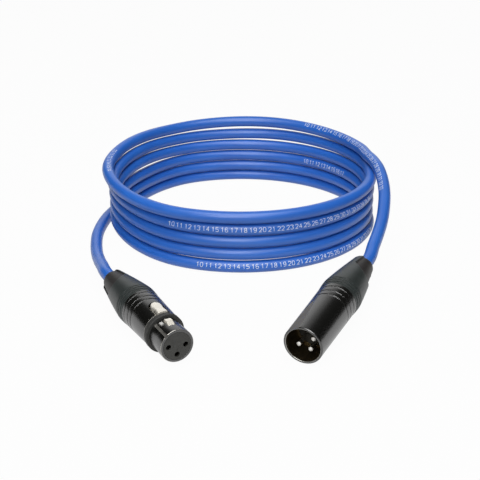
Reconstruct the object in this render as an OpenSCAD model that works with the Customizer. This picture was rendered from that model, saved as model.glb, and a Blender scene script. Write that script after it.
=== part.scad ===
// XLR cable coil: a microphone cable wound into a free-standing coil, with a
// 3-pole female connector on one end and a 3-pole male connector on the other.
// Millimetres, +Z up. The origin lies on the table, below the middle of the coil.
//
// Each connector is drawn in its own frame and then placed. In that frame z runs
// from the mating face to the cable, y points to the latch side, and a positive
// turn about z is clockwise for someone who looks into the mating face.

/* [Cable] */
// Outside diameter of the cable
cable_d = 6.4; // [5.4:0.1:6.6]
// Diameter of one insulated conductor
conductor_d = 1.4; // [1:0.1:1.5]

/* [Coil] */
// Radius of the coil, to the middle of the cable
coil_r = 73.5; // [72.5:0.5:75]
// Gap between one turn and the next
turn_gap = 0.45; // [0.42:0.01:0.9]
// Whole turns below the start of the coil
coil_turns = 5; // [4:1:6]
// How far the top turn bulges to the left
top_bulge = 2.8; // [0:0.1:4]
// How far the turns are pushed in at the back left
back_dent = 3.5; // [0:0.1:4]
// How far the back of the top turn stands up
back_lift = 1.65; // [0.8:0.05:2]
// How far the back of the second turn stands up
second_lift = 0.55; // [0:0.05:0.8]
// How far the upper turns stand up at the back left
corner_lift = 1.2; // [0:0.1:2]

/* [Contacts] */
// Diameter of the circle that the three contacts stand on
contact_circle_d = 8.1; // [7.8:0.1:8.2]
// Diameter of a male pin
pin_d = 2.4; // [2.2:0.05:2.4]
// Bore of a female socket
socket_d = 2.5; // [2.45:0.05:2.6]
// Wall of a female socket
socket_wall = 0.35; // [0.25:0.05:0.4]
// Radial clearance of a contact in its insert
contact_fit = 0.05; // [0.02:0.01:0.1]
// Depth of the pin tips below the mouth of the male shell
pin_recess = 3; // [2.8:0.1:4]
// Step down in a pin's radius where it enters the insert
pin_neck = 0.2; // [0.18:0.01:0.25]

/* [Female shell] */
// Diameter of the barrel that enters the mating connector
barrel_d = 15.7; // [15.5:0.1:15.8]
// Length of the barrel
barrel_len = 12.5; // [12:0.1:12.9]
// Wall of the barrel
barrel_wall = 1.25; // [1.1:0.05:1.3]
// Length of the barrel's guiding nose
nose_len = 5.2; // [4:0.1:5.3]
// Step down in radius behind the nose
nose_step = 0.2; // [0.18:0.01:0.25]
// Diameter of the collar behind the barrel
collar_d = 18.5; // [18.4:0.1:19.2]
// Length of the collar
collar_len = 2.6; // [2.4:0.1:2.8]
// Diameter of the female shell just behind the collar
female_front_d = 17.9; // [17.7:0.1:18.1]
// Width of the key groove in the barrel
key_w = 1.5; // [1.2:0.1:1.8]
// Depth of the key groove in the barrel
key_depth = 0.8; // [0.5:0.1:0.8]
// Angle between the latch and the key
key_angle = 42; // [40:1:50]

/* [Male shell] */
// Diameter of the male shell at its mouth
male_front_d = 18.5; // [18.4:0.1:18.9]
// Bore of the mouth
mouth_d = 15.9; // [15.85:0.05:16.1]
// Depth of the mouth
mouth_depth = 12; // [11.6:0.2:13]
// Length of the eased entry of the mouth
entry_len = 2.6; // [1:0.2:2.8]
// Extra radius of the eased entry
entry_ease = 0.2; // [0.18:0.01:0.25]
// Length of the long flat on the shell
flat_len = 24; // [20:1:28]
// Depth of the long flat at the mouth
flat_depth = 0.7; // [0.4:0.05:0.75]

/* [Both shells] */
// Length of a shell, from its mating face to the boot
shell_len = 39.4; // [39:0.1:41]
// Diameter of a shell at the boot
shell_rear_d = 19.5; // [19.3:0.1:19.7]
// Bore of a shell behind its insert
rear_bore_d = 15.8; // [15.6:0.1:16]
// Radial clearance of an insert in its shell
insert_fit = 0.05; // [0.02:0.01:0.1]
// Broken edge on the shells
edge = 0.4; // [0.2:0.05:0.5]
// Width of a ring groove
groove_w = 0.6; // [0.4:0.1:0.8]
// Depth of a ring groove
groove_depth = 0.3; // [0.2:0.05:0.4]

/* [Latch] */
// Width of the latch tooth and its arm
tooth_w = 3; // [2.6:0.1:3.2]
// Height of the tooth above the barrel
tooth_proud = 0.45; // [0.3:0.05:0.6]
// Height of the push tab above the shell
tab_proud = 0.5; // [0.3:0.1:0.8]
// Width of the push tab at its front
tab_front_w = 4.6; // [4.2:0.1:5.4]
// Width of the push tab at its round rear end
tab_rear_w = 5; // [4.6:0.1:5.4]
// Width of the window that the push tab stands in
window_w = 7; // [6.6:0.1:7.4]
// Width of the push tab at its waist
tab_waist_w = 4; // [3.6:0.1:4.4]
// Distance from the mating face to the latch hinge
hinge_z = 31; // [30:0.5:31]
// Height of the latch hinge above the connector's axis
hinge_y = 4.6; // [4.5:0.1:4.8]
// Diameter of the hinge pin
hinge_pin_d = 1.6; // [1.4:0.1:1.8]
// Radial clearance of the hinge pin
hinge_fit = 0.05; // [0.02:0.01:0.08]
// Thickness of the latch arm
arm_h = 1.2; // [1:0.1:1.3]
// Side clearance of the latch in its slots
latch_gap = 0.4; // [0.3:0.05:0.5]
// Outside diameter of the latch spring
spring_d = 2.3; // [2:0.1:2.4]
// Diameter of the spring wire
spring_wire_d = 0.4; // [0.3:0.05:0.5]

/* [Boot] */
// Length of a boot
boot_len = 36; // [34:0.5:38]
// Diameter of a boot at its front edge
boot_front_d = 19.6; // [19.4:0.1:19.8]
// Largest diameter of a boot
boot_d = 20.2; // [19.9:0.1:20.6]
// Diameter of a boot at its rear end
boot_rear_d = 11.8; // [11.4:0.1:12.4]
// Depth of the thumb recesses
recess_depth = 0.8; // [0.5:0.1:1]
// Radius of the round front end of a thumb recess
recess_r = 7; // [6:0.5:7.5]
// Width of the ridges between the two thumb recesses
ridge_w = 5; // [4:0.5:6]
// Gap between a boot and its shell
boot_gap = 0.1; // [0.05:0.05:0.2]
// Radial clearance of a boot on the cable
boot_cable_gap = 0.3; // [0.25:0.05:0.4]

/* [Cable clamp] */
// Outside diameter of the clamp jaws
chuck_d = 12.2; // [11.6:0.1:12.4]
// Length of the clamp
chuck_len = 13.3; // [12:0.5:14]
// Radial clearance between the clamp and the cable
chuck_fit = 0.08; // [0.05:0.01:0.12]
// Clearance between the clamp and the bushing
clamp_gap = 0.3; // [0.2:0.05:0.4]
// Outside diameter of the bushing's thread
thread_d = 15.2; // [14.8:0.1:15.3]
// Outside diameter of the bushing's tail
tail_d = 14; // [13.8:0.1:14.4]
// Diameter of the bushing's flange
flange_d = 17.4; // [17:0.1:17.8]

/* [Places] */
// Height that a resting connector keeps above the table
rest_gap = 0.05; // [0.02:0.01:0.2]
// Female mating face, to the right of the coil's middle
female_x = -28; // [-29:0.1:-26]
// Female mating face, behind the coil's middle
female_y = -173; // [-175:0.5:-172]
// Turn of the female connector
female_yaw = 27.8; // [26:0.1:29]
// Rise of the female connector towards its cable
female_tilt = 0.4; // [0.2:0.1:1]
// Roll of the female connector
female_roll = 2; // [0:1:4]
// Roll of the female connector's boot
female_boot_roll = -48; // [-60:1:0]
// Male mating face, to the right of the coil's middle
male_x = 26.3; // [25:0.1:29]
// Male mating face, behind the coil's middle
male_y = -172; // [-174:0.5:-171]
// Turn of the male connector
male_yaw = -26.3; // [-27.5:0.1:-26]
// Rise of the male connector towards its cable
male_tilt = 6; // [5:0.5:7]
// Roll of the male connector
male_roll = -31; // [-35:1:-25]
// Roll of the male connector's boot
male_boot_roll = 67; // [40:1:80]

/* [Hidden] */
$fn = 64;
// Overshoot of a cutting tool past the face that it cuts
over = 1;

// Cable and coil
cable_r = cable_d / 2;
pitch = cable_d + turn_gap;
coil_sides = 6;
lead_sides = 10;
ring_step = 15;                             // degrees between two rings of the coil
start_angle = 10;                           // the male lead joins the coil here
end_angle = 360 * coil_turns + 150;         // the coil runs into the female lead here
coil_top = cable_r + coil_turns * pitch;
descent_start = 155;                        // each turn drops one pitch between these angles
descent_span = 90;
back_hump = [79, 60];                       // where the top turn stands up, and half the width of it
second_hump = [70, 36];                     // the same for the second turn
corner_hump = [150, 32];                    // the same for the upper turns at the back left
corner_turns = 3;
bulge_hump = [180, 100];                    // the same for the bulge of the top turn
dent_hump = [152, 39];                      // the same for the place where the turns are pushed in
turn_out = [0, 0.6, -0.3, -0.5, -0.5, 0.4]; // how far each turn, from the top, lies outside the mean radius

// Hand-laid route of the female lead, from the coil to its boot: x, y and height above the table
female_route = [
    [-68.3, 23.5, 0], [-74.2, 11.5, 0], [-78.1, -2, 0], [-80.1, -16, 0], [-80.7, -30, 0],
    [-79.6, -44, 0], [-77.4, -58, 0.4], [-74.3, -71.5, 2], [-70.9, -85, 4.8]
];
// Hand-laid route of the male lead, from its boot up to the top of the coil
male_route = [
    [66.3, -86.8, 16.7], [70, -75, 18.8], [73.5, -62.5, 21.3], [76.1, -49.5, 24.5],
    [77.8, -36.5, 27.7], [78.2, -24, 30.5], [77.4, -12.5, 33], [75.4, -1, 34.1]
];
// Places along a connector's axis where the cable inside it has a ring
inside_stops = [44, 58, 71];
// The cable keeps straight for this length behind the boot, so that the boot can slide
straight_tail = 8.5;

// Radii from the diameters above
contact_r = contact_circle_d / 2;
contact_angles = [90, -90, 180];            // contacts 1, 2 and 3, clockwise from the latch side
socket_r = socket_d / 2 + socket_wall;
solder_gap = 0.15;                          // room for solder around a conductor
cup_r = conductor_d / 2 + solder_gap;
socket_start = 0.8;                         // the sockets start just below the insert's face
socket_bore_len = 9.5;
pin_shoulder = 16;                          // the pins thicken here, inside the insert
neck_lead = 0.1;                            // the neck of a pin starts this far before the insert
barrel_r = barrel_d / 2;
barrel_bore_r = barrel_r - barrel_wall;
collar_r = collar_d / 2;
female_front_r = female_front_d / 2;
male_front_r = male_front_d / 2;
shell_rear_r = shell_rear_d / 2;
mouth_r = mouth_d / 2;
rear_bore_r = rear_bore_d / 2;
chuck_r = chuck_d / 2;
boot_r = boot_d / 2;

key_gap = 0.1;                              // room around the key in its groove

// Stations along a connector, from its mating face
collar_end = barrel_len + collar_len;
neck_end = collar_end + groove_w;
insert_seat = 14;                           // where the female insert's flange begins
flange_end = insert_seat + 5;
shell_grooves_female = [30, 33.3, 37];
shell_grooves_male = [29.2, 32.7, 36.4];
ear_end = 33;                               // both inserts push against the clamp here
chuck_start = ear_end + 0.2;
jacket_end = ear_end - 0.1;                 // the cable's outer sheath is cut here
boot_start = shell_len + boot_gap;
boot_end = boot_start + boot_len;
boot_wide = boot_start + 6;                 // where a boot is widest
boot_grooves = [1.2, 3.1, 5];               // behind the boot's front edge
boot_curve = 1.15;                          // 1 makes the boot a straight cone behind its widest place
recess_middle = boot_start + 27;            // middle of the round end of a thumb recess
seat_lip = 0.5;                             // ledge that the male insert seats on
seat_w = 0.9;
male_insert_len = 6.5;
male_insert_start = mouth_depth + seat_lip;
cup_end = 23.5;                             // rear end of the solder cups
cup_start = 19.5;

// Latch
tooth_start = 5.8;
tooth_end = 10.9;
tooth_top = barrel_r + tooth_proud;
arm_floor = 1.9;                            // floor of the slot that the tooth sinks into
wing_floor = 2.8;                           // floor of the wider slot below the push tab
window_start = collar_end;
window_end = 26.4;
tab_start = window_start + 0.5;
tab_end = window_end - 1;
tab_top = shell_r(female_front_d, collar_end, tab_end) + tab_proud;
tab_under = rear_bore_r + 0.3;              // the tab's wings stay outside this radius
arm_bottom = hinge_y - arm_h / 2;
eye_wall = 0.7;
hinge_eye_r = hinge_pin_d / 2 + eye_wall;
lever_w = 5;
tab_rib_in = 1;                             // the rib under the tab starts this far behind its front
ear_in = lever_w / 2 + latch_gap;
ear_w = 1.5;
ear_out = ear_in + ear_w;
ear_low = 2.4;
ear_high = 6.2;
spring_z = insert_seat + 3;
spring_floor = -1.6;
spring_curls = 5;
spring_clear = 0.05;                        // gap at each end of the spring

// Ground contacts
ground_angle_female = -25;
ground_angle_male = 70;
ground_w = 1.4;
ground_t = 0.4;                             // thickness of a sprung strip
ground_room = 0.2;                          // room around a sprung strip in its pocket
ground_proud = 0.1;
ground_start = 8.6;
ground_end = 10.8;
ground_sink_female = 0.85;                  // how far the strip lies inside the barrel's wall
ground_sink_male = 0.65;
ground_low_female = barrel_bore_r - ground_sink_female;
ground_low_male = rear_bore_r - ground_sink_male;
ground_reach = 6;                           // length of the male strip in front of its insert
ground_seat = 3.5;                          // depth of its pocket in the insert

// Bushing
bushing_start = 34.5;
bushing_bore_r = chuck_r + clamp_gap;
bushing_flange_len = 2;
bushing_end = boot_start + 12.5;

male_rest_gap = rest_gap + 0.1;

// The female connector rests on its boot, the male one on the lower edge of its mouth
female_z = boot_r - boot_wide * sin(female_tilt) + rest_gap;
male_z = male_front_r * cos(male_tilt) + male_rest_gap;
female_face = [female_x, female_y, female_z];
male_face = [male_x, male_y, male_z];

// ---------------------------------------------------------------- helpers

// Moves a connector's own frame to its place on the table
module place(face, yaw, tilt, roll) {
    translate(face) rotate([90 - tilt, 0, 180 + yaw]) rotate([0, 0, roll]) children();
}

module at_female(roll = female_roll) place(female_face, female_yaw, female_tilt, roll) children();

module at_male(roll = male_roll) place(male_face, male_yaw, male_tilt, roll) children();

// Unit vector along a connector's axis, from its face to its cable
function rearwards(yaw, tilt) = [-sin(yaw) * cos(tilt), cos(yaw) * cos(tilt), sin(tilt)];

// Radius of a conical shell at a distance from its mating face; the cone begins at start
function shell_r(front_d, start, z) =
    (front_d + (shell_rear_d - front_d) * (z - start) / (shell_len - start)) / 2;

// Ring groove cut into a round body
module ring_groove(z, r) {
    translate([0, 0, z]) difference() {
        cylinder(r = r + over, h = groove_w);
        translate([0, 0, -over]) cylinder(r = r - groove_depth, h = groove_w + 2 * over);
    }
}

// Bar along z, at a given radius and angle, that follows the connector's axis
module strip(angle, r_low, r_high, w, z0, z1) {
    rotate([0, 0, angle]) translate([-w / 2, r_low, z0]) cube([w, r_high - r_low, z1 - z0]);
}

// Puts its children where each contact stands, or only where contact n stands
module at_contact(n) rotate([0, 0, contact_angles[n]]) translate([0, contact_r, 0]) children();

function unit(v) = v / norm(v);

// Direction of a path at point i, between its two neighbours
function heading(path, i) = unit(path[min(i + 1, len(path) - 1)] - path[max(i - 1, 0)]);

// Ring of points square to a direction, with one corner towards up
function ring(centre, way, r, sides, up) =
    let (across = unit(cross(way, up)), above = cross(across, way))
    [for (k = [0 : sides - 1])
        let (a = 90 + 360 * k / sides)
        centre + r * (cos(a) * across + sin(a) * above)];

// Closed tube of triangles along a path, which never runs along up itself
module tube(path, r, sides, up = [0, 0, 1]) {
    last = len(path) - 1;
    points = [for (i = [0 : last]) each ring(path[i], heading(path, i), r, sides, up)];
    walls = [for (i = [0 : last - 1], k = [0 : sides - 1])
        let (a = i * sides + k, b = i * sides + (k + 1) % sides)
        each [[a, b, b + sides], [a, b + sides, a + sides]]];
    front = [for (k = [1 : sides - 2]) [0, k + 1, k]];
    rear = [for (k = [1 : sides - 2]) [last * sides, last * sides + k, last * sides + k + 1]];
    polyhedron(points = points, faces = concat(walls, front, rear));
}

// ---------------------------------------------------------------- cable route

// Smooth step from 0 to 1
function ease(u) = let (v = min(max(u, 0), 1)) v * v * (3 - 2 * v);

// Round hump of height 1 around one angle; span gives its middle and half its width
function hump(angle, span) =
    abs(angle - span[0]) < span[1] ? (1 + cos(180 * (angle - span[0]) / span[1])) / 2 : 0;

function turn_of(angle) = floor(angle / 360);

function lift(angle) =
    let (turn = turn_of(angle), a = angle - 360 * turn)
    (turn == 0 ? back_lift * hump(a, back_hump) : 0)
    + (turn == 1 ? second_lift * hump(a, second_hump) : 0)
    + (turn < corner_turns ? corner_lift * hump(a, corner_hump) : 0);

// How far a turn lies outside the mean radius
function out_of(turn) = turn_out[min(turn, len(turn_out) - 1)];

// Middle of the cable at an angle along the winding, which starts on top and ends on the table
function coil_point(angle) =
    let (
        turn = turn_of(angle),
        a = angle - 360 * turn,
        slope = ease((a - descent_start) / descent_span),
        drop = pitch * (turn + slope),
        out = out_of(turn) * (1 - slope) + out_of(turn + 1) * slope,
        bulge = turn == 0 ? top_bulge * hump(a, bulge_hump) : 0,
        r = coil_r + out + bulge - back_dent * hump(a, dent_hump)
    )
    [r * cos(a), r * sin(a), coil_top - drop + lift(angle)];

// Level direction of the winding at an angle
function coil_way(angle) = [-sin(angle), cos(angle), 0];

coil_start = coil_point(start_angle);
coil_end = coil_point(end_angle);
first_ring = ring_step * ceil((start_angle + ring_step / 2) / ring_step);
last_ring = ring_step * floor((end_angle - ring_step / 2) / ring_step);

coil_path = concat(
    [coil_start, coil_start + cable_d * coil_way(start_angle)],
    [for (a = [first_ring : ring_step : last_ring]) coil_point(a)],
    [coil_end - cable_d * coil_way(end_angle), coil_end]
);

// Lifts a hand-laid route off the table by the cable's own radius
function laid(route) = [for (p = route) p + [0, 0, cable_r]];

// Middle of the cable inside a connector, from the cut sheath to the end of its straight tail
function inside(face, yaw, tilt) = [
    for (z = concat([jacket_end], inside_stops, [boot_end + straight_tail]))
        face + z * rearwards(yaw, tilt)
];

function reversed(list) = [for (i = [len(list) - 1 : -1 : 0]) list[i]];

lead_female_path = concat(
    [coil_end, coil_end + cable_d * coil_way(end_angle)],
    laid(female_route),
    reversed(inside(female_face, female_yaw, female_tilt))
);

lead_male_path = concat(
    inside(male_face, male_yaw, male_tilt),
    laid(male_route),
    [coil_start - cable_d * coil_way(start_angle), coil_start]
);

// Least gap between the surfaces of two turns, measured between the middles of their rings
rings_apart = 12;
least_gap = min([
    for (i = [0 : len(coil_path) - 1], j = [i + rings_apart : 1 : len(coil_path) - 1])
        norm(coil_path[i] - coil_path[j]) - cable_d
]);

function total(list, i = 0) = i < len(list) ? list[i] + total(list, i + 1) : 0;

function path_length(path) = total([for (i = [1 : len(path) - 1]) norm(path[i] - path[i - 1])]);

echo(least_gap_of_the_coil = least_gap);
echo(cable_length = path_length(coil_path) + path_length(lead_female_path) + path_length(lead_male_path));

// ---------------------------------------------------------------- female connector

// Turned shell with the barrel, the collar, the latch window and the key groove
module female_shell() {
    color("#202124") at_female() difference() {
        rotate_extrude() polygon([
            [barrel_bore_r, 0], [barrel_r - edge, 0], [barrel_r, edge], [barrel_r, nose_len],
            [barrel_r - nose_step, nose_len], [barrel_r - nose_step, barrel_len],
            [collar_r - edge, barrel_len], [collar_r, barrel_len + edge], [collar_r, collar_end - edge],
            [collar_r - edge, collar_end], [female_front_r - groove_depth, collar_end],
            [female_front_r - groove_depth, neck_end], [female_front_r, neck_end],
            [shell_rear_r, shell_len], [rear_bore_r, shell_len], [rear_bore_r, insert_seat],
            [barrel_bore_r, insert_seat]
        ]);
        for (z = shell_grooves_female) ring_groove(z, shell_r(female_front_d, neck_end, z));
        latch_window();
        strip(0, 0, barrel_r + over, tooth_w + 2 * latch_gap, tooth_start - latch_gap,
            tooth_end + latch_gap);
        strip(ground_angle_female, barrel_bore_r - over, barrel_r + over, ground_w + 2 * latch_gap,
            ground_start - latch_gap, ground_end + latch_gap);
        strip(-key_angle, barrel_r - key_depth, barrel_r + over, key_w, -over, barrel_len);
    }
}

// Opening for the push tab: straight at the collar, round at the rear
module latch_window() {
    round_r = window_w / 2;
    rotate([-90, 0, 0]) linear_extrude(height = collar_r + over) mirror([0, 1]) {
        translate([-round_r, window_start]) square([window_w, window_end - round_r - window_start]);
        translate([0, window_end - round_r]) circle(r = round_r);
    }
}

// Moulded insert: socket bores, the latch slot, the spring pocket and the two hinge ears
module female_insert() {
    socket_hole_r = socket_r + contact_fit;
    color("#2c2d2f") at_female() difference() {
        union() {
            difference() {
                union() {
                    cylinder(r = barrel_bore_r - insert_fit, h = insert_seat);
                    translate([0, 0, insert_seat + insert_fit])
                        cylinder(r = rear_bore_r - insert_fit, h = flange_end - insert_seat - insert_fit);
                    translate([0, 0, insert_seat - over])
                        cylinder(r = barrel_bore_r - insert_fit, h = 2 * over);
                }
                translate([-tooth_w / 2 - latch_gap, arm_floor, tooth_start - 2 * latch_gap])
                    cube([tooth_w + 2 * latch_gap, rear_bore_r, flange_end]);
                translate([-window_w / 2, wing_floor, insert_seat])
                    cube([window_w, rear_bore_r, flange_end]);
            }
            for (side = [-1, 1]) ear(side);
        }
        for (n = [0 : 2]) at_contact(n) {
            translate([0, 0, -over]) cylinder(r = socket_d / 2, h = 3 * over);
            translate([0, 0, socket_start]) cylinder(r = socket_hole_r, h = flange_end);
        }
        translate([0, spring_floor, spring_z]) rotate([-90, 0, 0])
            cylinder(r = spring_d / 2 + latch_gap / 2, h = arm_floor - spring_floor + over);
        strip(ground_angle_female, ground_low_female - ground_room, barrel_r, ground_w + 2 * latch_gap,
            ground_start - latch_gap, insert_seat);
        hinge_bore();
    }
}

// Ear behind the insert's flange that carries one end of the hinge pin
module ear(side) {
    middle = side * (ear_in + ear_out) / 2;
    translate([middle - ear_w / 2, ear_low, flange_end - contact_fit])
        cube([ear_w, ear_high - ear_low, ear_end - flange_end + contact_fit]);
}

module hinge_bore() {
    translate([-ear_out - over, hinge_y, hinge_z]) rotate([0, 90, 0])
        cylinder(r = hinge_pin_d / 2 + hinge_fit, h = 2 * (ear_out + over));
}

// Turned socket with a bore for the pin in front and a solder cup behind
module socket_contact(n) {
    color("#c9a85a") at_female() at_contact(n) difference() {
        translate([0, 0, socket_start]) cylinder(r = socket_r, h = cup_end - socket_start);
        translate([0, 0, socket_start - over]) cylinder(r = socket_d / 2, h = socket_bore_len + over);
        translate([0, 0, cup_start]) cylinder(r = cup_r, h = cup_end);
    }
}

// Latch: hinge eye, arm, tooth and the push tab that fills the window
module latch_lever() {
    color("#c9c6b8") at_female() difference() {
        union() {
            translate([-tooth_w / 2, arm_bottom, tooth_start])
                cube([tooth_w, arm_h, flange_end - tooth_start + over]);
            translate([-lever_w / 2, arm_bottom, flange_end + latch_gap])
                cube([lever_w, arm_h, hinge_z - flange_end - latch_gap]);
            translate([-lever_w / 2, hinge_y, hinge_z]) rotate([0, 90, 0])
                cylinder(r = hinge_eye_r, h = lever_w);
            translate([-tooth_w / 2, arm_bottom, tooth_start])
                cube([tooth_w, tooth_top - arm_bottom, tooth_end - tooth_start]);
            translate([-tooth_w / 2, arm_bottom, tab_start + tab_rib_in])
                cube([tooth_w, tab_under - arm_bottom + latch_gap, tab_end - tab_start - 3 * tab_rib_in]);
            push_tab();
        }
        hinge_bore();
    }
}

// Tab with a flared front, a waist and a round rear end, curved like the shell around it
module push_tab() {
    rear_r = tab_rear_w / 2;
    flare_len = 3.5;
    intersection() {
        difference() {
            cylinder(r = tab_top, h = shell_len);
            translate([0, 0, -over]) cylinder(r = tab_under, h = shell_len + 2 * over);
        }
        rotate([-90, 0, 0]) linear_extrude(height = tab_top) mirror([0, 1]) {
            polygon([
                [-tab_front_w / 2, tab_start], [tab_front_w / 2, tab_start],
                [tab_waist_w / 2, tab_start + flare_len], [rear_r, tab_end - rear_r],
                [-rear_r, tab_end - rear_r], [-tab_waist_w / 2, tab_start + flare_len]
            ]);
            translate([0, tab_end - rear_r]) circle(r = rear_r);
        }
    }
}

// Steel pin through the two ears and the latch's eye
module latch_pin() {
    color("silver") at_female() translate([-ear_out, hinge_y, hinge_z]) rotate([0, 90, 0])
        cylinder(r = hinge_pin_d / 2, h = 2 * ear_out);
}

// Coil spring that stands in the insert's pocket and pushes the latch up
module latch_spring() {
    winding_r = (spring_d - spring_wire_d) / 2;
    low = spring_floor + spring_clear + spring_wire_d / 2;
    high = arm_bottom - spring_clear - spring_wire_d / 2;
    rings_per_curl = 8;
    rings = spring_curls * rings_per_curl;
    helix = [for (i = [0 : rings])
        let (a = 360 * i / rings_per_curl, h = low + (high - low) * i / rings)
        [winding_r * cos(a), winding_r * sin(a), h]];
    color("gainsboro") at_female() translate([0, 0, spring_z]) rotate([-90, 0, 0])
        tube(helix, spring_wire_d / 2, coil_sides);
}

// Sprung strip that touches the mating shell through its own small window
module female_ground_contact() {
    low = ground_low_female;
    color("#d8d8d4") at_female() union() {
        strip(ground_angle_female, low, low + ground_t, ground_w, ground_start, insert_seat - ground_proud);
        strip(ground_angle_female, low, barrel_r + ground_proud, ground_w, ground_start,
            ground_end);
    }
}

// ---------------------------------------------------------------- male connector

// Turned shell with the open mouth, the long flat and the key inside
module male_shell() {
    flat_end_r = shell_r(male_front_d, 0, flat_len);
    flat_angle = atan((flat_end_r - male_front_r + flat_depth) / flat_len);
    cutter_len = 1.5 * flat_len;
    seat_r = rear_bore_r - seat_w;
    color("#202124") at_male() union() {
        difference() {
            rotate_extrude() polygon([
                [mouth_r + entry_ease, entry_len], [mouth_r + entry_ease, edge / 2],
                [mouth_r + entry_ease + edge / 2, 0], [male_front_r - edge, 0], [male_front_r, edge],
                [shell_rear_r, shell_len], [rear_bore_r, shell_len], [rear_bore_r, male_insert_start],
                [seat_r, male_insert_start], [seat_r, mouth_depth],
                [mouth_r, mouth_depth], [mouth_r, entry_len]
            ]);
            for (z = shell_grooves_male) ring_groove(z, shell_r(male_front_d, edge, z));
            translate([0, flat_end_r, flat_len]) rotate([-flat_angle, 0, 0])
                translate([-shell_rear_r, 0, -cutter_len]) cube([shell_rear_d, shell_rear_r, cutter_len]);
            strip(ground_angle_male, seat_r - over, mouth_r, ground_w + 2 * latch_gap,
                mouth_depth - over, male_insert_start + contact_fit);
        }
        // The key fills the mating barrel's groove, with room to slide
        intersection() {
            strip(key_angle, barrel_r - key_depth + key_gap, male_front_r, key_w - 2 * key_gap,
                entry_len + key_gap, mouth_depth + key_gap);
            cylinder(r = mouth_r + key_gap, h = shell_len);
        }
    }
}

// Moulded insert that carries the three pins, with two legs that push against the clamp
module male_insert() {
    insert_end = male_insert_start + male_insert_len;
    leg_x = 5.75;
    leg_w = 1.5;
    leg_h = 5;
    color("#2c2d2f") at_male() difference() {
        union() {
            translate([0, 0, male_insert_start + contact_fit])
                cylinder(r = rear_bore_r - insert_fit, h = male_insert_len - contact_fit);
            for (side = [-1, 1])
                translate([side * leg_x - leg_w / 2, -leg_h / 2, insert_end - over])
                    cube([leg_w, leg_h, ear_end - insert_end + over]);
        }
        for (n = [0 : 2]) at_contact(n) {
            cylinder(r = pin_d / 2 - pin_neck + contact_fit, h = insert_end);
            translate([0, 0, pin_shoulder]) cylinder(r = socket_r + contact_fit, h = insert_end);
        }
        strip(ground_angle_male, ground_low_male - ground_room, mouth_r, ground_w + 2 * latch_gap,
            male_insert_start - over, male_insert_start + ground_seat);
    }
}

// Turned pin: a round tip, the free shank, a neck inside the insert and a solder cup behind
module contact_pin(n) {
    pin_r = pin_d / 2;
    tip_end = pin_recess + pin_r;
    neck_start = male_insert_start - neck_lead;
    color("#cfcfca") at_male() at_contact(n) difference() {
        union() {
            translate([0, 0, tip_end]) sphere(r = pin_r);
            translate([0, 0, tip_end]) cylinder(r = pin_r, h = neck_start - tip_end);
            translate([0, 0, tip_end]) cylinder(r = pin_r - pin_neck, h = pin_shoulder - tip_end + over);
            translate([0, 0, pin_shoulder + contact_fit])
                cylinder(r = socket_r, h = cup_end - pin_shoulder - contact_fit);
        }
        translate([0, 0, cup_start]) cylinder(r = cup_r, h = cup_end);
    }
}

// Sprung strip along the wall of the mouth, seated in the insert
module male_ground_contact() {
    low = ground_low_male;
    color("#d8d8d4") at_male()
        strip(ground_angle_male, low, low + ground_t, ground_w, male_insert_start - ground_reach,
            male_insert_start + ground_seat - ground_proud);
}

// ---------------------------------------------------------------- parts that both connectors have

// Slotted clamp that grips the cable
module chuck_body() {
    slit_w = 0.8;
    shoulder_len = 1;
    solid_len = 4;
    slit_start = chuck_start + solid_len;
    difference() {
        translate([0, 0, chuck_start]) union() {
            cylinder(r = rear_bore_r - clamp_gap, h = shoulder_len);
            cylinder(r = chuck_r, h = chuck_len);
        }
        translate([0, 0, chuck_start - over])
            cylinder(r = cable_r + chuck_fit, h = chuck_len + 2 * over);
        for (a = [0, 90]) rotate([0, 0, a])
            translate([-chuck_r - over, -slit_w / 2, slit_start])
                cube([2 * (chuck_r + over), slit_w, chuck_len]);
    }
}

// Screwed bushing: its thread enters the shell, its tail carries the boot
module bushing_body() {
    flange_start = boot_start + boot_gap;
    taper_len = 2;
    throat_r = cable_r + clamp_gap + 1;
    rotate_extrude() polygon([
        [bushing_bore_r, bushing_start], [thread_d / 2, bushing_start], [thread_d / 2, flange_start],
        [flange_d / 2, flange_start], [flange_d / 2, flange_start + bushing_flange_len],
        [tail_d / 2, flange_start + bushing_flange_len], [tail_d / 2, bushing_end],
        [throat_r, bushing_end], [bushing_bore_r, bushing_end - taper_len]
    ]);
}

// Radius of the boot's outside at a distance from the mating face
function boot_profile(z) =
    z < boot_wide
        ? boot_r - (boot_d - boot_front_d) / 2 * pow((boot_wide - z) / (boot_wide - boot_start), 2)
        : boot_r - (boot_d - boot_rear_d) / 2 * pow((z - boot_wide) / (boot_end - boot_wide), boot_curve);

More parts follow.
